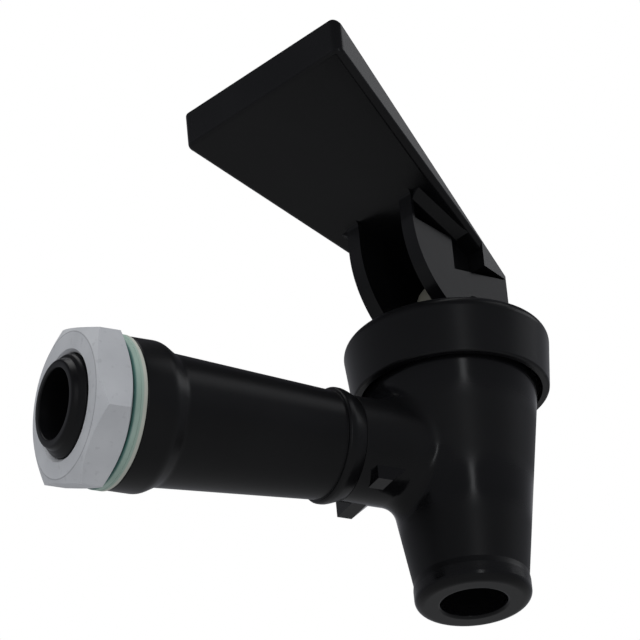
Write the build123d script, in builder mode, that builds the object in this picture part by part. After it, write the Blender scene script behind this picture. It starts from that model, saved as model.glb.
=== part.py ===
from build123d import *
from math import cos, radians, sin, sqrt, tan
import os

os.makedirs("parts", exist_ok=True)

# Frame: the origin is on the shank axis at the flange face that bears on the vessel wall.
# X runs along the shank to the front, Z runs up the spout axis. Millimetres and degrees.
reach = 58.2
sliding_fit = 0.2
running_fit = 0.08
close_fit = 0.05
seat_gap = 0.05

# Shank: threaded tail, flange, tapered sleeve, bead and spigot
shank_bore_radius = 5.4
pilot_radius = 6.6
pilot_length = 1.0
thread_radius = 7.94
tail_length = 9.9
thread_chamfer = 0.6
flange_radius = 11.55
flange_length = 5.0
flange_slope_length = 2.5
sleeve_root_radius = 10.15
sleeve_end_radius = 8.35
bead_step = 0.6
bead_length = 3.3
bead_crest_length = 1.0
bead_crest_round = 2.0
bead_back_round = 0.45
spigot_wall = 1.0
spigot_length = 3.8

# Nut and sealing washers on the tail
nut_across_flats = 23.2
nut_thickness = 6.0
nut_turn = 25.0
nut_chamfer_radius = 11.05
nut_chamfer_depth = 1.3
nut_hole_chamfer = 0.5
washer_radius = 11.8
cream_washer_thickness = 1.1
green_washer_thickness = 1.05
washer_edge_chamfer = 0.2

# Body: spout cone, lip, side neck with its flat foot
spout_drop = 23.3
lip_radius = 8.95
lip_height = 2.9
lip_round = 1.4
waist_radius = 8.82
waist_height = 1.0
outlet_radius = 5.05
outlet_round = 0.5
shoulder_height = 12.6
shoulder_radius = 13.4
shoulder_step = 0.7
rim_height = 17.0
chamber_top_radius = 10.2
chamber_floor_radius = 8.0
chamber_floor_drop = 8.0
seat_ring_height = 1.5
seat_ring_wall = 1.2
neck_radius = 8.1
neck_reach = 20.0
neck_edge_round = 0.1
neck_bore_radius = 5.0
neck_fillet = 3.0
socket_depth = 4.9
foot_near_width = 6.0
foot_far_width = 7.65
foot_drop = 7.65
foot_shelf_drop = 3.0
foot_start = 17.8
foot_flat_length = 2.45
foot_slope_length = 3.25
foot_slope_rise = 2.85

# Bonnet: screw cap over the top of the body
bonnet_top = 21.4
bonnet_flare = 0.85
bonnet_skirt_height = 11.9
bonnet_skirt_wall = 1.1
bonnet_groove = 0.7
bonnet_relief_height = 1.6
bonnet_roof = 2.8
bonnet_top_round = 1.8
bonnet_skirt_round = 0.4

# Lever: thin wedge paddle with a solid nose, two cheeks with a rounded back, and the foot it tips on
lever_swivel = 14.9
lever_rest_gap = 0.1
lever_front = 7.4
lever_tip = 34.65
lever_tip_width = 36.0
lever_head_width = 14.55
lever_front_height = 10.7
lever_slope = 33.3
paddle_tip_thickness = 6.1
paddle_front_thickness = 0.9
paddle_corner_round = 1.2
paddle_under_round = 1.0
paddle_edge_round = 0.3
nose_length = 6.0
nose_height = 9.8
cheek_thickness = 2.6
cheek_back = 11.65
cheek_back_radius = 18.2
cheek_arc_height = 15.6
cheek_root_round = 1.2
cheek_root_length = 3.5
head_front_wall = 2.0
head_front_opening = 2.6
foot_tip_round = 1.0
side_recess_depth = 1.9
side_recess_rim = 0.5
side_band_height = 1.4
side_band_front = 2.6
side_band_slant = 1.1
side_panel_top = 13.85
side_panel_slant = 1.3
side_panel_front = 3.7
side_foot_height = 8.4
side_foot_rise = 1.2

# Pull rod, cross pin and what closes the seat
stem_radius = 3.87
stem_dome_height = 6.2
pin_radius = 1.4
pin_height = 3.2
pin_end_inset = 0.4
stem_foot_height = -1.0
stem_neck_radius = 2.0
barb_radius = 3.0
barb_length = 1.2
barb_room = 0.3
spring_seat_radius = 5.9
spring_seat_thickness = 1.2
cup_flange_radius = 12.2
cup_top_radius = 9.3
cup_foot_radius = 7.2
cup_wall = 1.1
spring_wire_radius = 0.5
spring_radius = 5.3
spring_turns = 4.5
o_ring_section = 1.0

# Places that follow from the sizes above
spout_axis = Axis((reach, 0, 0), (0, 0, 1))
spout_plane = Plane(origin=(reach, 0, 0), x_dir=(1, 0, 0), z_dir=(0, -1, 0))
swivel = radians(lever_swivel)
lever_way = (cos(swivel), sin(swivel), 0)
lever_side = (sin(swivel), -cos(swivel), 0)
lever_axis = Axis((reach, 0, 0), lever_way)
lever_plane = Plane(origin=(reach, 0, 0), x_dir=lever_way, z_dir=lever_side)
lever_plan = Plane(origin=(reach, 0, 0), x_dir=lever_way, z_dir=(0, 0, 1))
neck_end = reach - neck_reach
bead_end = neck_end - close_fit
bead_start = bead_end - bead_length
sleeve_start = flange_length + flange_slope_length
spigot_radius = shank_bore_radius + spigot_wall
bead_radius = sleeve_end_radius + bead_step
washer_hole_radius = thread_radius + sliding_fit
nut_face = cream_washer_thickness + green_washer_thickness

# Body: one revolved cone with lip and cap thread, joined by the side neck and its foot
waist_level = lip_height + waist_height - spout_drop
cap_thread_radius = shoulder_radius - shoulder_step
chamber_floor = -chamber_floor_drop
seat_level = chamber_floor + seat_ring_height
with BuildPart() as faucet_body:
    with BuildSketch(spout_plane):
        with BuildLine():
            Polyline(
                (0, -spout_drop),
                (lip_radius, -spout_drop),
                (lip_radius, lip_height - spout_drop),
                (waist_radius, waist_level),
                (shoulder_radius, shoulder_height),
                (cap_thread_radius, shoulder_height),
                (cap_thread_radius, rim_height),
                (0, rim_height),
                close=True,
            )
        make_face()
    revolve(axis=spout_axis)
    with BuildSketch(Plane.YZ.offset(neck_end)):
        Circle(neck_radius)
    extrude(amount=neck_reach)
    plain_edges = (GeomType.LINE, GeomType.CIRCLE)
    fillet([edge for edge in faucet_body.edges() if edge.geom_type not in plain_edges], neck_fillet)
    fillet(faucet_body.edges().filter_by(GeomType.CIRCLE).sort_by(Axis.X)[0], neck_edge_round)
    with BuildSketch(spout_plane.offset((foot_near_width - foot_far_width) / 2)):
        with BuildLine():
            Polyline(
                (-foot_start, -foot_shelf_drop),
                (-foot_start, -foot_drop),
                (foot_flat_length - foot_start, -foot_drop),
                (foot_flat_length + foot_slope_length - foot_start, foot_slope_rise - foot_drop),
                (foot_flat_length + foot_slope_length - foot_start, -foot_shelf_drop),
                close=True,
            )
        make_face()
    extrude(amount=(foot_near_width + foot_far_width) / 2, both=True)
    lip_edges = faucet_body.edges().filter_by(GeomType.CIRCLE).filter_by_position(
        Axis.Z, -spout_drop - 1, lip_height - spout_drop + 0.01)
    fillet(lip_edges.sort_by(Axis.Z)[0], lip_round)
    with BuildSketch(spout_plane):
        with BuildLine():
            Polyline(
                (0, rim_height),
                (chamber_top_radius, rim_height),
                (chamber_floor_radius, chamber_floor),
                (outlet_radius + 2 * seat_ring_wall, chamber_floor),
                (outlet_radius + seat_ring_wall, seat_level),
                (outlet_radius, seat_level),
                (outlet_radius, -spout_drop),
                (0, -spout_drop),
                close=True,
            )
        make_face()
    revolve(axis=spout_axis, mode=Mode.SUBTRACT)
    with BuildSketch(Plane.YZ.offset(neck_end)):
        Circle(spigot_radius + close_fit)
    extrude(amount=socket_depth, mode=Mode.SUBTRACT)
    with BuildSketch(Plane.YZ.offset(neck_end)):
        Circle(neck_bore_radius)
    extrude(amount=neck_reach, mode=Mode.SUBTRACT)
    outlet_rims = faucet_body.edges().filter_by(GeomType.CIRCLE).filter_by(
        lambda edge: abs(edge.radius - outlet_radius) < 0.01)
    fillet(outlet_rims.sort_by(Axis.Z)[0], outlet_round)
faucet_body.part.label = "faucet_body"
export_step(faucet_body.part, "parts/faucet_body.step")

# Shank: one revolved moulding from the inlet to the spigot in the body's neck
def on_bead(edge):
    return abs(edge.radius - bead_radius) < 0.01


with BuildPart() as shank:
    with BuildSketch(Plane.XZ):
        with BuildLine():
            Polyline(
                (-tail_length, shank_bore_radius),
                (-tail_length, pilot_radius),
                (pilot_length - tail_length, pilot_radius),
                (pilot_length - tail_length, thread_radius - thread_chamfer),
                (pilot_length + thread_chamfer - tail_length, thread_radius),
                (0, thread_radius),
                (0, flange_radius),
                (flange_length, flange_radius),
                (sleeve_start, sleeve_root_radius),
                (bead_start, sleeve_end_radius),
                (bead_start, bead_radius),
                (bead_start + bead_crest_length, bead_radius),
                (bead_end, neck_radius),
                (bead_end, spigot_radius),
                (bead_end + spigot_length, spigot_radius),
                (bead_end + spigot_length, shank_bore_radius),
                close=True,
            )
        make_face()
    revolve(axis=Axis.X)
    bead_rims = [edge for edge in shank.edges().filter_by(GeomType.CIRCLE) if on_bead(edge)]
    fillet(ShapeList(bead_rims).sort_by(Axis.X)[-1], bead_crest_round)
    bead_rims = [edge for edge in shank.edges().filter_by(GeomType.CIRCLE) if on_bead(edge)]
    fillet(ShapeList(bead_rims).sort_by(Axis.X)[0], bead_back_round)
shank.part.label = "shank"
export_step(shank.part, "parts/shank.step")

# Face seal between the spigot's end and the floor of the body's socket
socket_floor = neck_end + socket_depth
o_ring_middle = (bead_end + spigot_length + socket_floor) / 2
o_ring_radius = spigot_radius - o_ring_section / 2
with BuildPart() as shank_o_ring:
    with BuildSketch(Plane.XZ):
        with Locations((o_ring_middle, o_ring_radius)):
            Circle(o_ring_section / 2)
    revolve(axis=Axis.X)
shank_o_ring.part.label = "shank_o_ring"
export_step(shank_o_ring.part, "parts/shank_o_ring.step")

# Cream washer on the flange, then the green washer under the nut
with BuildPart() as cream_washer:
    with BuildSketch(Plane.YZ):
        Circle(washer_radius)
        Circle(washer_hole_radius, mode=Mode.SUBTRACT)
    extrude(amount=-cream_washer_thickness)
    washer_rims = cream_washer.edges().filter_by(GeomType.CIRCLE).sort_by(SortBy.RADIUS)[-2:]
    chamfer(washer_rims, washer_edge_chamfer)
cream_washer.part.label = "cream_washer"
export_step(cream_washer.part, "parts/cream_washer.step")

with BuildPart() as green_washer:
    with BuildSketch(Plane.YZ.offset(-cream_washer_thickness)):
        Circle(washer_radius)
        Circle(washer_hole_radius, mode=Mode.SUBTRACT)
    extrude(amount=-green_washer_thickness)
    washer_rims = green_washer.edges().filter_by(GeomType.CIRCLE).sort_by(SortBy.RADIUS)[-2:]
    chamfer(washer_rims, washer_edge_chamfer)
green_washer.part.label = "green_washer"
export_step(green_washer.part, "parts/green_washer.step")

# Hexagon nut with both faces chamfered
nut_corner_radius = nut_across_flats / sqrt(3)
nut_end = nut_face + nut_thickness
with BuildPart() as hex_nut:
    with BuildSketch(Plane.YZ.offset(-nut_face)):
        RegularPolygon(nut_corner_radius, 6, rotation=nut_turn)
    extrude(amount=-nut_thickness)
    with BuildSketch(Plane.XZ):
        with BuildLine():
            Polyline(
                (-nut_face, 0),
                (-nut_face, nut_chamfer_radius),
                (-nut_face - nut_chamfer_depth, nut_corner_radius),
                (nut_chamfer_depth - nut_end, nut_corner_radius),
                (-nut_end, nut_chamfer_radius),
                (-nut_end, 0),
                close=True,
            )
        make_face()
    revolve(axis=Axis.X, mode=Mode.INTERSECT)
    with BuildSketch(Plane.YZ.offset(-nut_face)):
        Circle(thread_radius + close_fit)
    extrude(amount=-nut_thickness, mode=Mode.SUBTRACT)
    hole_rims = hex_nut.edges().filter_by(GeomType.CIRCLE).filter_by(
        lambda edge: abs(edge.radius - thread_radius - close_fit) < 0.01)
    chamfer(hole_rims, nut_hole_chamfer)
hex_nut.part.label = "hex_nut"
export_step(hex_nut.part, "parts/hex_nut.step")

# Bonnet: skirt with a relief round the body's shoulder, roof with the stem hole
skirt_relief_radius = shoulder_radius + bonnet_groove
bonnet_skirt_radius = skirt_relief_radius + bonnet_skirt_wall
bonnet_top_radius = bonnet_skirt_radius + bonnet_flare
bonnet_thread_radius = cap_thread_radius + sliding_fit
relief_top = shoulder_height + bonnet_relief_height
roof_under = bonnet_top - bonnet_roof
stem_hole_radius = stem_radius + running_fit
with BuildPart() as bonnet:
    with BuildSketch(spout_plane):
        with BuildLine():
            Polyline(
                (stem_hole_radius, bonnet_top),
                (bonnet_top_radius, bonnet_top),
                (bonnet_skirt_radius, bonnet_skirt_height),
                (skirt_relief_radius, bonnet_skirt_height),
                (skirt_relief_radius, relief_top - (skirt_relief_radius - bonnet_thread_radius)),
                (bonnet_thread_radius, relief_top),
                (bonnet_thread_radius, roof_under),
                (stem_hole_radius, roof_under),
                close=True,
            )
        make_face()
    revolve(axis=spout_axis)
    top_rim = bonnet.edges().filter_by(GeomType.CIRCLE).group_by(Axis.Z)[-1].sort_by(SortBy.RADIUS)[-1]
    fillet(top_rim, bonnet_top_round)
    skirt_rim = bonnet.edges().filter_by(GeomType.CIRCLE).group_by(Axis.Z)[0].sort_by(SortBy.RADIUS)[-1]
    fillet(skirt_rim, bonnet_skirt_round)
bonnet.part.label = "bonnet"
export_step(bonnet.part, "parts/bonnet.step")

# Lever: wedge paddle, head block with a round back, slot between the cheeks, side recesses and pin hole
foot_level = bonnet_top + lever_rest_gap
front_level = bonnet_top + lever_front_height
paddle_run = lever_front + lever_tip
tip_level = front_level + paddle_run * tan(radians(lever_slope))
paddle_under_front = front_level - paddle_front_thickness
under_slope = (tip_level - paddle_tip_thickness - paddle_under_front) / paddle_run
arc_level = foot_level + cheek_arc_height
arc_centre_x = cheek_back_radius - cheek_back
arc_start_x = arc_centre_x - sqrt(cheek_back_radius**2 - cheek_arc_height**2)
arc_half_turn = radians(25)
arc_middle_x = arc_centre_x - cheek_back_radius * cos(arc_half_turn)
arc_middle = (arc_middle_x, arc_level - cheek_back_radius * sin(arc_half_turn))
head_half = lever_head_width / 2
slot_half = head_half - cheek_thickness
slot_front = lever_front - head_front_wall
pin_level = foot_level + pin_height
nose_back = lever_front - nose_length
nose_level = foot_level + nose_height
root_back = -cheek_back - cheek_root_length
recess_back = side_recess_rim - cheek_back
recess_front = lever_front - side_recess_rim
panel_level = foot_level + side_panel_top
ledge_level = foot_level + side_foot_height
band_slant_front = side_band_slant - side_band_front


def under_paddle(x, drop=0.0):
    return paddle_under_front + (lever_front - x) * under_slope - drop


with BuildPart() as lever:
    with BuildSketch(lever_plane):
        with BuildLine():
            Polyline(
                (lever_front, front_level),
                (-lever_tip, tip_level),
                (-lever_tip, tip_level - paddle_tip_thickness),
                (nose_back, under_paddle(nose_back)),
                (nose_back, nose_level),
                (lever_front, nose_level),
                close=True,
            )
        make_face()
    extrude(amount=lever_tip_width, both=True)
    with BuildSketch(lever_plan):
        with BuildLine():
            Polyline(
                (lever_front, head_half),
                (-lever_tip, lever_tip_width / 2),
                (-lever_tip, -lever_tip_width / 2),
                (lever_front, -head_half),
                close=True,
            )
        make_face()
    extrude(amount=tip_level + lever_tip, mode=Mode.INTERSECT)
    fillet(lever.edges().filter_by(Axis.Z).sort_by(lever_axis)[:2], paddle_corner_round)
    under_face = lever.faces().filter_by(lambda face: face.normal_at().Z < -0.5).sort_by(SortBy.AREA)[-1]
    fillet(under_face.edges().sort_by(lever_axis)[:-1], paddle_under_round)
    top_face = lever.faces().filter_by(lambda face: face.normal_at().Z > 0.5).sort_by(SortBy.AREA)[-1]
    fillet(top_face.edges().sort_by(lever_axis)[:-1], paddle_edge_round)
    with BuildSketch(lever_plane) as head_profile:
        with BuildLine():
            Polyline(
                (-cheek_back, arc_level),
                (-cheek_back, under_paddle(-cheek_back)),
                (root_back, under_paddle(root_back)),
                (root_back, under_paddle(root_back, -paddle_front_thickness / 2)),
                (lever_front, under_paddle(lever_front, -paddle_front_thickness / 2)),
                (lever_front, foot_level),
                (arc_start_x, foot_level),
            )
            ThreePointArc((arc_start_x, foot_level), arc_middle, (-cheek_back, arc_level))
        make_face()
        fillet(head_profile.vertices().group_by(Axis.Y)[0].sort_by(Axis.X)[-1], foot_tip_round)
        cheek_root = (-cheek_back, under_paddle(-cheek_back), 0)
        fillet(head_profile.vertices().sort_by_distance(cheek_root)[0], cheek_root_round)
    extrude(amount=head_half, both=True)
    with BuildSketch(lever_plane):
        with BuildLine():
            Polyline(
                (-lever_tip, foot_level),
                (lever_front, foot_level),
                (lever_front, foot_level + head_front_opening),
                (slot_front, foot_level + head_front_opening),
                (slot_front, under_paddle(slot_front)),
                (-lever_tip, under_paddle(-lever_tip)),
                close=True,
            )
        make_face()
    extrude(amount=slot_half, both=True, mode=Mode.SUBTRACT)
    for side in (1, -1):
        with BuildSketch(lever_plane.offset(side * head_half)):
            with BuildLine():
                Polyline(
                    (recess_back, panel_level + side_panel_slant),
                    (-side_panel_front, panel_level),
                    (-side_panel_front, ledge_level),
                    (recess_front, ledge_level + side_foot_rise),
                    (recess_front, nose_level),
                    (nose_back, nose_level),
                    (nose_back, under_paddle(nose_back)),
                    (band_slant_front, under_paddle(band_slant_front)),
                    (-side_band_front, under_paddle(-side_band_front, side_band_height)),
                    (recess_back, under_paddle(recess_back, side_band_height)),
                    close=True,
                )
            make_face()
        extrude(amount=-side * side_recess_depth, mode=Mode.SUBTRACT)
    with BuildSketch(lever_plane):
        with Locations((0, pin_level)):
            Circle(pin_radius + close_fit)
    extrude(amount=head_half, both=True, mode=Mode.SUBTRACT)
lever.part.label = "lever"
export_step(lever.part, "parts/lever.step")

# Cross pin through both cheeks and the stem
with BuildPart() as lever_pin:
    with BuildSketch(lever_plane):
        with Locations((0, pin_level)):
            Circle(pin_radius)
    extrude(amount=head_half - pin_end_inset, both=True)
lever_pin.part.label = "lever_pin"
export_step(lever_pin.part, "parts/lever_pin.step")

# Stem: domed pull rod with a shoulder on the spring seat and a barb in the cup's floor
spring_seat_level = stem_foot_height - spring_seat_thickness - close_fit
barb_top = spring_seat_level - close_fit - barb_length
dome_centre = bonnet_top + stem_dome_height
with BuildPart() as stem:
    with BuildSketch(spout_plane):
        with BuildLine():
            Polyline(
                (0, dome_centre + stem_radius),
                (0, barb_top - barb_length),
                (barb_radius, barb_top - barb_length),
                (barb_radius, barb_top),
                (stem_neck_radius, barb_top),
                (stem_neck_radius, stem_foot_height),
                (stem_radius, stem_foot_height),
                (stem_radius, dome_centre),
            )
            RadiusArc((stem_radius, dome_centre), (0, dome_centre + stem_radius), -stem_radius)
        make_face()
    revolve(axis=spout_axis)
    with BuildSketch(lever_plane):
        with Locations((0, pin_level)):
            Circle(pin_radius + running_fit)
    extrude(amount=2 * stem_radius, both=True, mode=Mode.SUBTRACT)
stem.part.label = "stem"
export_step(stem.part, "parts/stem.step")

# Spring seat: loose washer under the spring, on the cup's floor
with BuildPart() as spring_seat:
    with BuildSketch(Plane.XY.offset(spring_seat_level)):
        with Locations((reach, 0)):
            Circle(spring_seat_radius)
            Circle(stem_neck_radius + running_fit, mode=Mode.SUBTRACT)
    extrude(amount=spring_seat_thickness)
spring_seat.part.label = "spring_seat"
export_step(spring_seat.part, "parts/spring_seat.step")

# Seat cup: soft cup with its flange held under the bonnet and its floor on the seat ring
cup_bottom = seat_level + seat_gap
cup_floor = spring_seat_level - close_fit
cup_inner_foot = cup_foot_radius - cup_wall
cup_inner_top = cup_top_radius - cup_wall
cup_flange_under = rim_height + seat_gap
cup_flange_top = roof_under - seat_gap
with BuildPart() as seat_cup:
    with BuildSketch(spout_plane):
        with BuildLine():
            Polyline(
                (0, cup_bottom),
                (cup_foot_radius, cup_bottom),
                (cup_foot_radius, cup_floor),
                (cup_top_radius, cup_flange_under),
                (cup_flange_radius, cup_flange_under),
                (cup_flange_radius, cup_flange_top),
                (cup_inner_top, cup_flange_top),
                (cup_inner_foot, cup_floor),
                (stem_neck_radius + sliding_fit, cup_floor),
                (stem_neck_radius + sliding_fit, barb_top + barb_room),
                (barb_radius + sliding_fit, barb_top + barb_room),
                (barb_radius + sliding_fit, barb_top - barb_length - barb_room),
                (0, barb_top - barb_length - barb_room),
                close=True,
            )
        make_face()
    revolve(axis=spout_axis)
seat_cup.part.label = "seat_cup"
export_step(seat_cup.part, "parts/seat_cup.step")

# Return spring between the bonnet's roof and the spring seat
spring_bottom = spring_seat_level + spring_seat_thickness + spring_wire_radius + close_fit
spring_rise = roof_under - close_fit - spring_wire_radius - spring_bottom
with BuildPart() as return_spring:
    with BuildLine():
        coil = Helix(spring_rise / spring_turns, spring_rise, spring_radius, (reach, 0, spring_bottom))
    with BuildSketch(Plane(origin=coil @ 0, z_dir=coil % 0)):
        Circle(spring_wire_radius)
    sweep(path=coil, is_frenet=True)
return_spring.part.label = "return_spring"
export_step(return_spring.part, "parts/return_spring.step")
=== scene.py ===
# %% [markdown]
# A drink dispenser faucet, dressed for the camera.
#
# The solids of the faucet come from the CAD frame: the body with its spout, the shank, the bonnet, the
# lever and the small parts that make it work. This lesson takes them as they are and gives each one a
# finish. It makes by hand only what needs more than a plain solid: the threaded shank, the two soft
# washers, the cup and the spring that give way inside, and two small webs under the lever's paddle.

# %% Load the frame
import math
import bmesh
import bpy
from mathutils import Matrix, Vector


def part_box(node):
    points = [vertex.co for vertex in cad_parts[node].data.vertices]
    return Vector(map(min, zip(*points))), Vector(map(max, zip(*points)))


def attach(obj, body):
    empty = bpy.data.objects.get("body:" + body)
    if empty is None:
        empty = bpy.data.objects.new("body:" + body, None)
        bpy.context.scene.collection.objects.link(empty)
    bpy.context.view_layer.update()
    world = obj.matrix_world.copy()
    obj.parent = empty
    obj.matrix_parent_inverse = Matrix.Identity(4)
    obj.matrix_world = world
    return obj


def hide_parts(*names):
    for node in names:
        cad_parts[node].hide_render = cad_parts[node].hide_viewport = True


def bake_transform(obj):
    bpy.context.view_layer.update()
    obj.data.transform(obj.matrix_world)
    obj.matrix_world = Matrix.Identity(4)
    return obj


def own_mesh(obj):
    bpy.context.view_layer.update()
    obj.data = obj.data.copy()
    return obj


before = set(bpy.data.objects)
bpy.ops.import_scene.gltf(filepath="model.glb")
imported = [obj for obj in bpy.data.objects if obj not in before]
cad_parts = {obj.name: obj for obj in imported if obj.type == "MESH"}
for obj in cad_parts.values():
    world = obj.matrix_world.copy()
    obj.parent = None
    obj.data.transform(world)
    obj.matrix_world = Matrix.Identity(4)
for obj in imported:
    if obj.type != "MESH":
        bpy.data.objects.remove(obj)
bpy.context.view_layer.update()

scene = bpy.context.scene
MM = 0.001


print("nodes:", ", ".join(sorted(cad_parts)))

# %% [markdown]
# The camera stands low and a little behind the faucet, looking up along the shank. A long lens far away
# keeps the edges almost parallel, as in a catalogue picture. A Track To constraint could aim it, but would
# leave its roll to chance. Blender's camera looks down its own -Z axis, so its matrix is filled with three
# directions: right, up, and the opposite of where it looks.

# %% Camera
SENSOR = 36.0
LENS_PER_WIDTH = 8.6996
NEAR_CLIP = 0.01
FAR_CLIP = 50.0
eye = Vector((-334.50, -651.37, -377.98)) * MM
look = Vector((0.43666, 0.76678, 0.47051)).normalized()
right = Vector((0.88766, -0.45226, -0.08675)).normalized()
up = right.cross(look)

camera_data = bpy.data.cameras.new("camera")
camera_data.sensor_fit = "HORIZONTAL"
camera_data.sensor_width = SENSOR
camera_data.lens = SENSOR * LENS_PER_WIDTH
camera_data.clip_start = NEAR_CLIP
camera_data.clip_end = FAR_CLIP
camera = bpy.data.objects.new("camera", camera_data)
camera.matrix_world = Matrix((
    (right.x, up.x, -look.x, eye.x),
    (right.y, up.y, -look.y, eye.y),
    (right.z, up.z, -look.z, eye.z),
    (0.0, 0.0, 0.0, 1.0),
))
scene.collection.objects.link(camera)
scene.camera = camera
print("camera at", [round(v, 3) for v in eye], "lens", round(camera_data.lens, 1), "mm")

# %% [markdown]
# A finish is a small tree of shader nodes. Its sums could be wired node by node, but that is slow to read.
# So `Value` wraps one output socket and answers to +, - and *, each of which adds a Math node.

# %% Sums of shader values
class Value:
    """One output of a node, usable in Python arithmetic."""

    def __init__(self, finish, socket):
        self.finish = finish
        self.socket = socket

    def math(self, operation, *terms):
        return self.finish.node("ShaderNodeMath", {"operation": operation}, dict(enumerate(terms)))

    def apply(self, operation):
        return self.math(operation, self)

    def __add__(self, other):
        return self.math("ADD", self, other)

    def __radd__(self, other):
        return self.math("ADD", other, self)

    def __sub__(self, other):
        return self.math("SUBTRACT", self, other)

    def __rsub__(self, other):
        return self.math("SUBTRACT", other, self)

    def __mul__(self, other):
        return self.math("MULTIPLY", self, other)

    def __rmul__(self, other):
        return self.math("MULTIPLY", other, self)


print("values ready")

# %% [markdown]
# `Finish` owns a tree and makes every other node through one method: its type, its settings, then what goes
# into its sockets. Its `place` is where a point lies, so a pattern can follow the part's own sizes without
# any unwrapping. A few short methods name the nodes that come up again and again.

# %% Finishes
class Finish:
    """A node tree for one material, or for the world."""

    def __init__(self, tree, coordinates):
        self.tree = tree
        tree.nodes.clear()
        self.place = self.node("ShaderNodeTexCoord", {}, {}, coordinates)

    def node(self, kind, settings=None, inputs=None, output=0):
        made = self.tree.nodes.new(kind)
        for name, setting in (settings or {}).items():
            setattr(made, name, setting)
        for name, value in (inputs or {}).items():
            self.plug(value, made.inputs[name])
        return Value(self, made.outputs[output]) if made.outputs else None

    def plug(self, value, socket):
        if isinstance(value, Value):
            self.tree.links.new(value.socket, socket)
        elif socket.type == "RGBA":
            socket.default_value = (*value, 1.0)
        else:
            socket.default_value = value

    def mix(self, factor, first, second):
        # A Mix node's colours are its inputs 6 and 7, and its output 2
        settings = {"data_type": "RGBA", "clamp_factor": True}
        return self.node("ShaderNodeMix", settings, {0: factor, 6: first, 7: second}, 2)

    def noise(self, place, scale, detail=3.0, roughness=0.5):
        inputs = {"Vector": place, "Scale": scale, "Detail": detail, "Roughness": roughness}
        return self.node("ShaderNodeTexNoise", {}, inputs)

    def step(self, value, low, high):
        settings = {"interpolation_type": "SMOOTHSTEP", "clamp": True}
        return self.node("ShaderNodeMapRange", settings, {"Value": value, "From Min": low, "From Max": high})

    def along(self, axis):
        return self.node("ShaderNodeSeparateXYZ", {}, {"Vector": self.place}, axis)

    def measure(self, operation, point):
        inputs = {0: self.place, 1: tuple(point)}
        return self.node("ShaderNodeVectorMath", {"operation": operation}, inputs, "Value")


def new_finish(name):
    material = bpy.data.materials.new(name)
    material.use_nodes = True
    return material, Finish(material.node_tree, "Object")


def close_finish(finish, height, bump, **sockets):
    inputs = {"Height": height, "Distance": bump, "Strength": 1.0}
    sockets["Normal"] = finish.node("ShaderNodeBump", {}, inputs)
    named = {name.replace("_", " "): value for name, value in sockets.items()}
    surface = finish.node("ShaderNodeBsdfPrincipled", {}, named)
    finish.node("ShaderNodeOutputMaterial", {}, {"Surface": surface})


print("shader helpers ready")

# %% [markdown]
# Nearly everything here is one black moulding compound. Up close it is never a single black: the gloss
# drifts where the mould was polished more or less, a faint orange-peel ripple breaks the reflections, and
# handling leaves hair-fine rubs. Painted maps could show that, but noise has no seams: three sizes of it
# give cloudy gloss, ripple and rubs.
#
# On the spout the streak of light is broken: bright in two places and faint between. That could come from
# several lamps or from an uneven polish. Here it is bands of polish, which stay with the part when the
# light changes. A small polished patch gives the bright spot in the corner between the neck and the spout.

# %% Black moulded plastic
BLACK_LOW = (0.0032, 0.0033, 0.0038)
BLACK_HIGH = (0.0052, 0.0053, 0.0060)
LEVER_HIGH = (0.0054, 0.0055, 0.0061)
SPECULAR = 0.2
CLOUD_SCALE = 55.0
PEEL_SCALE = 620.0
GRAIN_SCALE = 2600.0
RUB_SCALE = 240.0
RUB_TURN = (0.4, 0.9, 0.2)
RUB_STRETCH = (1.0, 14.0, 14.0)
POLISHED_LEVELS = (10.4 * MM, -7.2 * MM, -24.0 * MM)
BAND_CORE = 1.0 * MM
BAND_EDGE = 5.4 * MM
POLISHED_SPOT = (49.8 * MM, -9.0 * MM, -3.2 * MM)
SPOT_CORE = 1.4 * MM
SPOT_EDGE = 2.6 * MM


def unpolished(f):
    """0 in the polished bands and on the polished spot, 1 well away from them."""
    level = f.along("Z")
    left = f.step(f.measure("DISTANCE", POLISHED_SPOT), SPOT_CORE, SPOT_EDGE)
    for middle in POLISHED_LEVELS:
        left = left * f.step((level - middle).apply("ABSOLUTE"), BAND_CORE, BAND_EDGE)
    return left


def black_plastic(name, colour_high, rough, ripple, dull=0.0):
    material, f = new_finish(name)
    cloud = f.noise(f.place, CLOUD_SCALE, 2.0)
    grain = f.noise(f.place, GRAIN_SCALE, 2.0)
    peel = f.noise(f.place, PEEL_SCALE, 1.0)
    stretch = {"Vector": f.place, "Rotation": RUB_TURN, "Scale": RUB_STRETCH}
    stretched = f.node("ShaderNodeMapping", {}, stretch)
    rubs = f.step(f.noise(stretched, RUB_SCALE, 4.0, 0.7), 0.62, 0.80)
    colour = f.mix(f.step(cloud, 0.3, 0.7), BLACK_LOW, colour_high)
    roughness = rough + 0.07 * cloud + 0.05 * rubs + 0.03 * grain
    if dull:
        roughness = roughness + dull * unpolished(f)
    close_finish(f, peel + 0.35 * grain, ripple, Base_Color=colour, Roughness=roughness,
                 Specular_IOR_Level=SPECULAR)
    return material


body_black = black_plastic("body_black", BLACK_HIGH, rough=0.12, ripple=6e-6, dull=0.26)
bonnet_black = black_plastic("bonnet_black", BLACK_HIGH, rough=0.27, ripple=6e-6)
lever_black = black_plastic("lever_black", LEVER_HIGH, rough=0.17, ripple=7e-6)
shank_black = black_plastic("shank_black", BLACK_HIGH, rough=0.27, ripple=6e-6)
print("black finishes:", body_black.name, bonnet_black.name, lever_black.name, shank_black.name)
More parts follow.
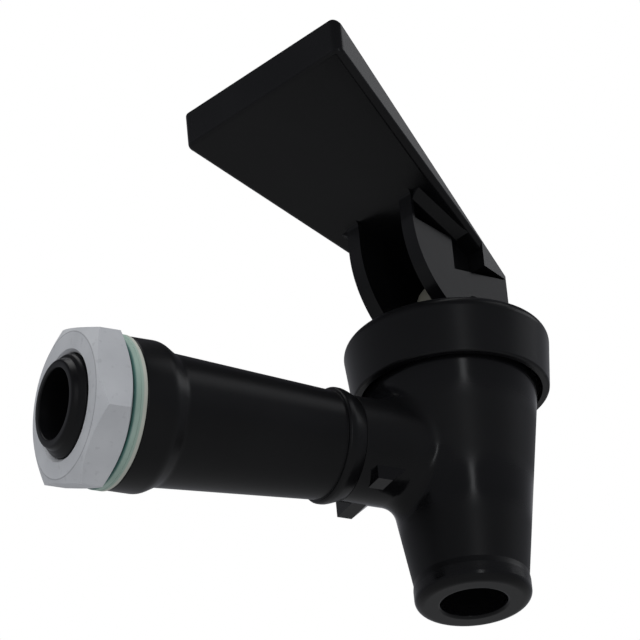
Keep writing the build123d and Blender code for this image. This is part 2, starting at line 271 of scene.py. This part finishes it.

# %% [markdown]
# The nut is turned from hexagon bar and dull plated. Its flats keep fine lines along the bar, and its end
# face keeps the rings of the lathe tool. A dark line of painted shade is drawn where the chamfer starts. An
# anisotropic shader could hint at the rings; a shallow bump shows them from any side. All of it follows from
# the place on the nut: rings from the distance to the shank's axis, lines from a noise that is stretched
# along X.

# %% Plated nut
NUT_LOW = (0.65, 0.665, 0.69)
NUT_HIGH = (0.73, 0.745, 0.77)
NUT_SPOT = (0.42, 0.43, 0.45)
NUT_EDGE_SHADE = (0.20, 0.20, 0.22)
RING_PITCH = 0.35 * MM
BAR_STRETCH = (1.0, 22.0, 22.0)
CHAMFER_EDGE = 11.05 * MM
LINE_WANDER = 0.12 * MM
LINE_CORE = 0.10 * MM
LINE_EDGE = 0.20 * MM


def plated_nut(name):
    material, f = new_finish(name)
    y = f.along("Y")
    z = f.along("Z")
    radius = (y * y + z * z).apply("SQRT")
    rings = (radius * (2 * math.pi / RING_PITCH)).apply("SINE")
    drawn = f.node("ShaderNodeMapping", {}, {"Vector": f.place, "Scale": BAR_STRETCH})
    lines = f.noise(drawn, 160.0, 3.0, 0.6)
    cloud = f.noise(f.place, 130.0, 3.0)
    spots = f.step(f.noise(f.place, 900.0, 2.0), 0.60, 0.75)
    colour = f.mix(f.step(cloud, 0.25, 0.75), NUT_LOW, NUT_HIGH)
    colour = f.mix(0.25 * spots, colour, NUT_SPOT)
    # Painted shade: a dark line drawn along the edge where the chamfer starts.
    from_edge = (radius - CHAMFER_EDGE).apply("ABSOLUTE") + LINE_WANDER * lines
    in_edge_shade = 1.0 - f.step(from_edge, LINE_CORE, LINE_EDGE)
    colour = f.mix(0.45 * in_edge_shade, colour, NUT_EDGE_SHADE)
    roughness = 0.40 + 0.14 * cloud + 0.08 * lines
    close_finish(f, 0.25 * rings + lines, 8e-6, Base_Color=colour, Roughness=roughness, Metallic=0.3)
    return material


nut_finish = plated_nut("plated_nut")
print("nut finish:", nut_finish.name)

# %% [markdown]
# Two soft washers seal the wall of the vessel: a thin green one against the nut, a cream one against the
# flange. Soft sheet is cloudy inside. Light scattered under the surface could show that, but in a sheet
# this thin a slow drift of colour looks the same. The green one is painted darker at its nut end, as shade
# in the gap against the nut, and the cream one turns pale green towards the green one. The ivory stem, the
# cup and the hidden seal take the same finish; the stem's ivory is painted dark as shade between the lever's
# cheeks.

# %% Soft sheet and ivory
def soft_sheet(name, low, high, rough, tint=None, tint_from=0.0, tint_to=0.0):
    material, f = new_finish(name)
    cloud = f.noise(f.place, 170.0, 3.0)
    grain = f.noise(f.place, 2400.0, 2.0)
    colour = f.mix(f.step(cloud, 0.3, 0.7), low, high)
    if tint is not None:
        colour = f.mix(f.step(f.along("X"), tint_from, tint_to), colour, tint)
    close_finish(f, grain + 0.6 * cloud, 1.2e-5, Base_Color=colour, Roughness=rough + 0.15 * grain)
    return material


# The green washer's dark tint at its nut end is painted shade: the shadow in the gap against the nut.
green_finish = soft_sheet("green_sheet", (0.34, 0.48, 0.41), (0.42, 0.56, 0.49), 0.35,
                          tint=(0.06, 0.17, 0.15), tint_from=-1.75 * MM, tint_to=-2.10 * MM)
cream_finish = soft_sheet("cream_sheet", (0.54, 0.56, 0.49), (0.60, 0.62, 0.55), 0.45,
                          tint=(0.38, 0.51, 0.44), tint_from=-0.60 * MM, tint_to=-0.80 * MM)
# Painted shade: the ivory is written far darker than ivory, as the stem looks in the shade between the
# lever's cheeks.
ivory_in_painted_shade = soft_sheet("ivory_plastic", (0.16, 0.157, 0.125), (0.20, 0.195, 0.16), 0.45)
silicone_finish = soft_sheet("seat_silicone", (0.55, 0.54, 0.50), (0.66, 0.65, 0.61), 0.40)
rubber_finish = soft_sheet("seal_rubber", (0.010, 0.010, 0.011), (0.020, 0.020, 0.021), 0.55)
print("soft finishes:", green_finish.name, cream_finish.name, ivory_in_painted_shade.name)

# %% [markdown]
# The cross pin and the return spring are bright drawn wire. Drawing leaves lines along a wire, but a coil
# turns every way, and stretched noise can't follow it. So both get bare metal with a fine even grain.

# %% Drawn wire
def drawn_wire(name, colour, rough):
    material, f = new_finish(name)
    fine = f.noise(f.place, 3000.0, 3.0)
    cloud = f.noise(f.place, 400.0, 2.0)
    tone = f.mix(cloud, tuple(0.8 * c for c in colour), colour)
    close_finish(f, fine, 4e-6, Base_Color=tone, Roughness=rough + 0.15 * fine, Metallic=1.0)
    return material


pin_finish = drawn_wire("pin_steel", (0.42, 0.42, 0.43), 0.30)
spring_finish = drawn_wire("spring_steel", (0.60, 0.60, 0.61), 0.22)
print("wire finishes:", pin_finish.name, spring_finish.name)

# %% [markdown]
# Each CAD solid whose shape is already right keeps its mesh and only takes its finish here. Copies with
# extra bevels could be made, but the solids have their rounds already, and a copy would have to be kept in
# step.

# %% Dress the CAD solids
finish_of = {
    "faucet_body": body_black,
    "bonnet": bonnet_black,
    "lever": lever_black,
    "lever_pin": pin_finish,
    "stem": ivory_in_painted_shade,
    "hex_nut": nut_finish,
    "spring_seat": ivory_in_painted_shade,
    "shank_o_ring": rubber_finish,
}


def give_finish(piece, material):
    piece.data.materials.clear()
    piece.data.materials.append(material)


for node, material in finish_of.items():
    give_finish(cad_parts[node], material)
print("dressed", len(finish_of), "solids")

# %% [markdown]
# The shank and the washers are turned shapes, so each is drawn as a closed half outline and swept round the
# X axis. The Screw modifier could do the sweep. Making the rings by hand lets the radius change as a ring
# turns, which the thread and the wavy rims need. A second helper rounds the outline's corners with short
# curves.

# %% Outline and sweep
TURNS = 144
CORNER_SHARE = 0.45


def rounded(points, steps=5):
    """Rounds each corner of a closed outline; a point is (x, radius, size of its round)."""
    out = []
    for k, (x, r, size) in enumerate(points):
        here = Vector((x, r))
        to_before = Vector(points[k - 1][:2]) - here
        to_after = Vector(points[(k + 1) % len(points)][:2]) - here
        cut = min(size, CORNER_SHARE * to_before.length, CORNER_SHARE * to_after.length)
        start = here + to_before.normalized() * cut
        end = here + to_after.normalized() * cut
        for s in range(steps + 1):
            t = s / steps
            point = start * (1 - t) ** 2 + here * 2 * t * (1 - t) + end * t ** 2
            out.append((point.x, point.y))
    return out


def swept_piece(name, outline, radius_at):
    """Sweeps (x, radius, varies) points round X; radius_at gives a varying point's radius at a turn."""
    mesh = bmesh.new()
    rings = []
    for x, radius, varies in outline:
        ring = []
        for i in range(TURNS):
            angle = 2 * math.pi * i / TURNS
            r = radius_at(x, radius, angle) if varies else radius
            ring.append(mesh.verts.new((x, r * math.cos(angle), r * math.sin(angle))))
        rings.append(ring)
    for a, b in zip(rings, rings[1:] + rings[:1]):
        for i in range(TURNS):
            j = (i + 1) % TURNS
            mesh.faces.new((a[i], a[j], b[j], b[i]))
    bmesh.ops.recalc_face_normals(mesh, faces=mesh.faces)
    data = bpy.data.meshes.new(name)
    mesh.to_mesh(data)
    mesh.free()
    data.polygons.foreach_set("use_smooth", [True] * len(data.polygons))
    piece = bpy.data.objects.new(name, data)
    scene.collection.objects.link(piece)
    return piece


def stand_for(piece, node, material):
    give_finish(piece, material)
    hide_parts(node)


print("sweep ready,", TURNS, "points to a ring")

# %% [markdown]
# The shank is one long moulding: a threaded tail, a flange, a tapered sleeve, a low bead, and a spigot that
# goes into the neck. Only the tail needs close rings, so they are added there alone. On them the radius
# dips with the turn and with the place along X together, and that makes a screw thread. A thread cut by a
# boolean would take longer and leave ragged faces.

# %% Shank with its thread
shank_low, shank_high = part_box("shank")
TAIL_END = shank_low[0]
SPIGOT_END = shank_high[0]
BORE = 5.4 * MM
TIP_RADIUS = 6.6 * MM
PILOT_END = -8.9 * MM
PILOT_RADIUS = 6.95 * MM
MAJOR = 7.94 * MM
THREAD_PITCH = 1.4 * MM
THREAD_DEPTH = 0.25 * MM
THREAD_RUN_IN = 0.5 * MM
THREAD_STOP = -0.02 * MM
THREAD_FROM_RADIUS = 7.2 * MM
RING_STEP = 0.1 * MM
LONG_RUN = 1.0 * MM
FLANGE_RADIUS = 11.55 * MM
FLANGE_WIDTH = 5.0 * MM
SLEEVE_START = 7.5 * MM
SLEEVE_RADIUS = 10.15 * MM
SLEEVE_END = 34.85 * MM
SLEEVE_END_RADIUS = 8.35 * MM
BEAD_RADIUS = 8.93 * MM
NECK_FACE = 38.15 * MM
NECK_RADIUS = 8.1 * MM
SPIGOT_RADIUS = 6.4 * MM

shank_corners = [
    (TAIL_END, BORE, 0.25 * MM),
    (TAIL_END, TIP_RADIUS, 0.40 * MM),
    (PILOT_END, PILOT_RADIUS, 0.30 * MM),
    (PILOT_END + 0.2 * MM, 7.40 * MM, 0.20 * MM),
    (PILOT_END + 0.7 * MM, MAJOR, 0.25 * MM),
    (-0.05 * MM, MAJOR, 0.05 * MM),
    (0.0, FLANGE_RADIUS, 0.35 * MM),
    (FLANGE_WIDTH, FLANGE_RADIUS, 0.8 * MM),
    (SLEEVE_START, SLEEVE_RADIUS, 0.5 * MM),
    (SLEEVE_END, SLEEVE_END_RADIUS, 0.12 * MM),
    (SLEEVE_END, 8.70 * MM, 0.15 * MM),
    (35.15 * MM, BEAD_RADIUS, 0.17 * MM),
    (35.95 * MM, BEAD_RADIUS, 0.36 * MM),
    (37.05 * MM, 8.58 * MM, 0.50 * MM),
    (NECK_FACE, NECK_RADIUS, 0.05 * MM),
    (NECK_FACE, SPIGOT_RADIUS, 0.1 * MM),
    (SPIGOT_END, SPIGOT_RADIUS, 0.15 * MM),
    (SPIGOT_END, BORE, 0.15 * MM),
]


def thread_radius(x, radius, angle):
    turn = (x / THREAD_PITCH - angle / (2 * math.pi)) % 1.0
    tooth = min(max(2.4 * abs(turn - 0.5) - 0.1, 0.0), 1.0)
    fade = min(max((x - PILOT_END) / THREAD_RUN_IN, 0.0), 1.0)
    return radius - THREAD_DEPTH * tooth * fade


def with_thread_rings(points):
    out = []
    for (x, r), (x2, r2) in zip(points, points[1:] + points[:1]):
        on_tail = PILOT_END < x < THREAD_STOP and r > THREAD_FROM_RADIUS
        out.append((x, r, on_tail))
        if on_tail and x2 - x > LONG_RUN and r2 > THREAD_FROM_RADIUS:
            steps = int((x2 - x) / RING_STEP)
            for k in range(1, steps):
                out.append((x + (x2 - x) * k / steps, r + (r2 - r) * k / steps, True))
    return out


shank_outline = with_thread_rings(rounded(shank_corners))
shank_skin = swept_piece("shank_moulding", shank_outline, thread_radius)
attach(shank_skin, "faucet")
stand_for(shank_skin, "shank", shank_black)
print("shank rings:", len(shank_outline), "faces:", len(shank_skin.data.polygons))

# %% [markdown]
# The washers are cut from soft sheet and squeezed between hard faces, so their rims bulge and wander by a
# tenth of a millimetre. Cloth could be pressed to get that. A sweep is enough: a round-cornered rectangle
# whose outer radius waves slowly round the turn.

# %% Soft washers
HOLE = 8.14 * MM
HOLE_ROUND = 0.10 * MM
RIM_WAVE = 0.16 * MM
WAVE_START = 0.7
# Waves in a turn, share of the swell, and how many times the start shifts them
SWELLS = ((3, 0.55, 1), (7, 0.3, 2), (13, 0.15, 0))


def waving(x, radius, angle):
    swell = sum(share * math.sin(count * angle + shift * WAVE_START) for count, share, shift in SWELLS)
    return radius - RIM_WAVE * (0.5 + 0.5 * swell)


def washer(name, node, round_low, round_high):
    low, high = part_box(node)
    rim = high[1]
    corners = [
        (low[0], HOLE, HOLE_ROUND),
        (low[0], rim, round_low),
        (high[0], rim, round_high),
        (high[0], HOLE, HOLE_ROUND),
    ]
    outer = 0.5 * (HOLE + rim)
    points = [(x, r, r > outer) for x, r in rounded(corners, steps=6)]
    piece = swept_piece(name, points, waving)
    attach(piece, "faucet")
    return piece


green_skin = washer("green_sheet_washer", "green_washer", 0.40 * MM, 0.10 * MM)
stand_for(green_skin, "green_washer", green_finish)
cream_skin = washer("cream_sheet_washer", "cream_washer", 0.10 * MM, 0.35 * MM)
stand_for(cream_skin, "cream_washer", cream_finish)
print("washers:", green_skin.name, cream_skin.name)

# %% [markdown]
# Two parts hidden in the body change shape when the lever is pulled: the stem lifts the foot of the soft
# cup off its seat, and the return spring inside the cup is pressed together. A rigid solid can't do that,
# and shape keys would need a driver. Here each is only a copy of its solid's mesh in a new object, with its
# own finish: the spring hangs from the faucet's body and keeps a mesh of its own, and the cup's copy has
# its place baked into its mesh.

# %% Cup and spring
SPOUT_X = 58.2 * MM


def giving_piece(name, node, material):
    piece = bpy.data.objects.new(name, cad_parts[node].data.copy())
    scene.collection.objects.link(piece)
    stand_for(piece, node, material)
    return piece


coil = giving_piece("coil_spring", "return_spring", spring_finish)
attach(coil, "faucet")
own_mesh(coil)
cup = giving_piece("soft_seat_cup", "seat_cup", silicone_finish)
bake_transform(cup)

# %% [markdown]
# Where a cheek of the lever meets the underside of the paddle, a narrow sloping web stiffens the corner. It
# shows as a paler band above the cheek, because it looks down at the floor. It could be cut from a box, but
# a thin wedge of six points is all it is. The points are given in the lever's own directions: along the
# lever, out to its side, and below the paddle.

# %% Webs under the paddle
SWIVEL = math.radians(14.9)
ALONG = Vector((math.cos(SWIVEL), math.sin(SWIVEL), 0.0))
ASIDE = Vector((math.sin(SWIVEL), -math.cos(SWIVEL), 0.0))
PADDLE_FRONT = 7.4 * MM
UNDER_FRONT = 31.2 * MM
UNDER_SLOPE = 0.5332
CHEEK_FACE = 7.275 * MM
WEB_DOWN = 1.35 * MM
WEB_OUT = 1.8 * MM
SUNK = 0.15 * MM
WEB_EDGE = 0.12 * MM
# Along the lever at each end: the corner under the paddle, and the foot on the cheek
WEB_ENDS = ((-11.3 * MM, -11.3 * MM), (-1.5 * MM, -2.6 * MM))
WEB_FACES = [(0, 1, 2), (3, 5, 4), (0, 3, 4, 1), (1, 4, 5, 2), (2, 5, 3, 0)]


def on_lever(along, aside, below):
    level = UNDER_FRONT + (PADDLE_FRONT - along) * UNDER_SLOPE - below
    return Vector((SPOUT_X, 0.0, level)) + ALONG * along + ASIDE * aside


def web(name, side):
    points = []
    for top, bottom in WEB_ENDS:
        points.append(on_lever(top, side * (CHEEK_FACE - SUNK), -SUNK))
        points.append(on_lever(bottom, side * (CHEEK_FACE - SUNK), WEB_DOWN))
        points.append(on_lever(top, side * (CHEEK_FACE + WEB_OUT), -SUNK))
    data = bpy.data.meshes.new(name)
    data.from_pydata(points, [], WEB_FACES)
    shape = bmesh.new()
    shape.from_mesh(data)
    bmesh.ops.recalc_face_normals(shape, faces=shape.faces)
    bmesh.ops.bevel(shape, geom=shape.edges[:], offset=WEB_EDGE, segments=3, affect="EDGES", profile=0.5)
    shape.to_mesh(data)
    shape.free()
    piece = bpy.data.objects.new(name, data)
    scene.collection.objects.link(piece)
    give_finish(piece, lever_black)
    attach(piece, "lever")
    return piece


webs = [web("near_web", 1.0), web("far_web", -1.0)]
print("webs:", [len(piece.data.polygons) for piece in webs], "faces")

# %% [markdown]
# The stage is a pale floor well below the faucet, which hangs from its wall. A curved backdrop could close
# the view, but the camera looks up past the floor to the world's white, so the floor only lends its light
# from below.

# %% Floor
FLOOR = -0.85
FLOOR_HALF = 5.0
FLOOR_LOW = (0.50, 0.50, 0.51)
FLOOR_HIGH = (0.54, 0.54, 0.54)

floor_material, f = new_finish("pale_floor")
speck = f.noise(f.place, 40.0, 4.0)
floor_tone = f.mix(speck, FLOOR_LOW, FLOOR_HIGH)
close_finish(f, speck, 1e-4, Base_Color=floor_tone, Roughness=0.6 + 0.1 * speck)
floor_corners = [(x * FLOOR_HALF, y * FLOOR_HALF, FLOOR) for x, y in ((-1, -1), (1, -1), (1, 1), (-1, 1))]
floor_mesh = bpy.data.meshes.new("floor")
floor_mesh.from_pydata(floor_corners, [], [(0, 1, 2, 3)])
floor = bpy.data.objects.new("floor", floor_mesh)
scene.collection.objects.link(floor)
give_finish(floor, floor_material)
print("floor at", FLOOR, "m")

# %% [markdown]
# The world is the room. A picture of a studio could fill it, but a few directions and steps do the same.
# The camera sees plain white. Dull surfaces see soft grey walls, brighter on the side of a high window.
# Glossy plastic sees grey walls, a dark ceiling, and a paler wall straight behind the faucet. The dark
# ceiling is what leaves black plastic black, and the pale wall gives it its light rims.

# %% World
ROOM_SHADE = (0.20, 0.20, 0.21)
ROOM_WINDOW = (0.90, 0.91, 0.92)
WINDOW_WAY = (-0.50, -0.20, 0.84)
WALLS_IN_GLOSS = (0.27, 0.275, 0.30)
CEILING_IN_GLOSS = (0.06, 0.06, 0.07)
REAR_IN_GLOSS = 0.12
WHITE = (1.0, 1.0, 1.0)
UPWARD = (0.0, 0.0, 1.0)

world = bpy.data.worlds.new("studio")
scene.world = world
world.use_nodes = True
w = Finish(world.node_tree, "Generated")
camera_ray = w.node("ShaderNodeLightPath", {}, {}, "Is Camera Ray")
glossy_ray = w.node("ShaderNodeLightPath", {}, {}, "Is Glossy Ray")
transmission_ray = w.node("ShaderNodeLightPath", {}, {}, "Is Transmission Ray")

ceiling = w.step(w.measure("DOT_PRODUCT", UPWARD), 0.42, 0.64)
rear_wall = w.step(w.measure("DOT_PRODUCT", look), 0.80, 1.00) * (1.0 - ceiling) * REAR_IN_GLOSS
seen = camera_ray + transmission_ray + glossy_ray * rear_wall
window = w.step(w.measure("DOT_PRODUCT", WINDOW_WAY), 0.0, 0.9)
soft_room = w.mix(window, ROOM_SHADE, ROOM_WINDOW)
in_gloss = w.mix(ceiling, WALLS_IN_GLOSS, CEILING_IN_GLOSS)
room = w.mix(glossy_ray, soft_room, in_gloss)
tone = w.mix(seen, room, WHITE)
backdrop = w.node("ShaderNodeBackground", {}, {"Color": tone, "Strength": 1.0})
w.node("ShaderNodeOutputWorld", {}, {"Surface": backdrop})
scene.view_settings.view_transform = "Standard"
print("world: white to the camera, grey studio to the gloss")

# %% [markdown]
# Lamps are placed by where they have to show up as reflections. On a shiny black part the light itself is
# hardly seen; what is seen is the lamp's image, so area lamps do what points of light can't. A narrow tall
# lamp gives the streak down the spout, a broad one in front makes the cheek and the side of the paddle
# pale, a smaller one above it draws the pale band along the shank, and a large one overhead lights the soft
# parts.

# %% Lamps
LAMP_AIM = Vector((SPOUT_X, 0.0, 0.0))
STRIP_TINT = (0.96, 0.98, 1.0)
BOX_TINT = (0.97, 0.98, 1.0)


def lamp(name, azimuth, elevation, distance, width, height, power, tint):
    a = math.radians(azimuth)
    e = math.radians(elevation)
    way = Vector((math.cos(a) * math.cos(e), math.sin(a) * math.cos(e), math.sin(e)))
    data = bpy.data.lights.new(name, "AREA")
    data.shape = "RECTANGLE"
    data.size = width
    data.size_y = height
    data.energy = power
    data.color = tint
    made = bpy.data.objects.new(name, data)
    made.location = LAMP_AIM + way * distance
    made.rotation_euler = way.to_track_quat("Z", "Y").to_euler()
    scene.collection.objects.link(made)
    return made


lamps = [
    lamp("strip", -102, 1, 1.4, width=0.15, height=0.85, power=1.4, tint=STRIP_TINT),
    lamp("front_box", -15, 33, 1.3, width=0.75, height=0.32, power=0.97, tint=BOX_TINT),
    lamp("high_front", -38, 50, 1.3, width=0.55, height=0.42, power=0.6, tint=BOX_TINT),
    lamp("top_box", 150, 80, 1.3, width=0.8, height=0.8, power=3.0, tint=WHITE),
]
print("lamps:", ", ".join(item.name for item in lamps))
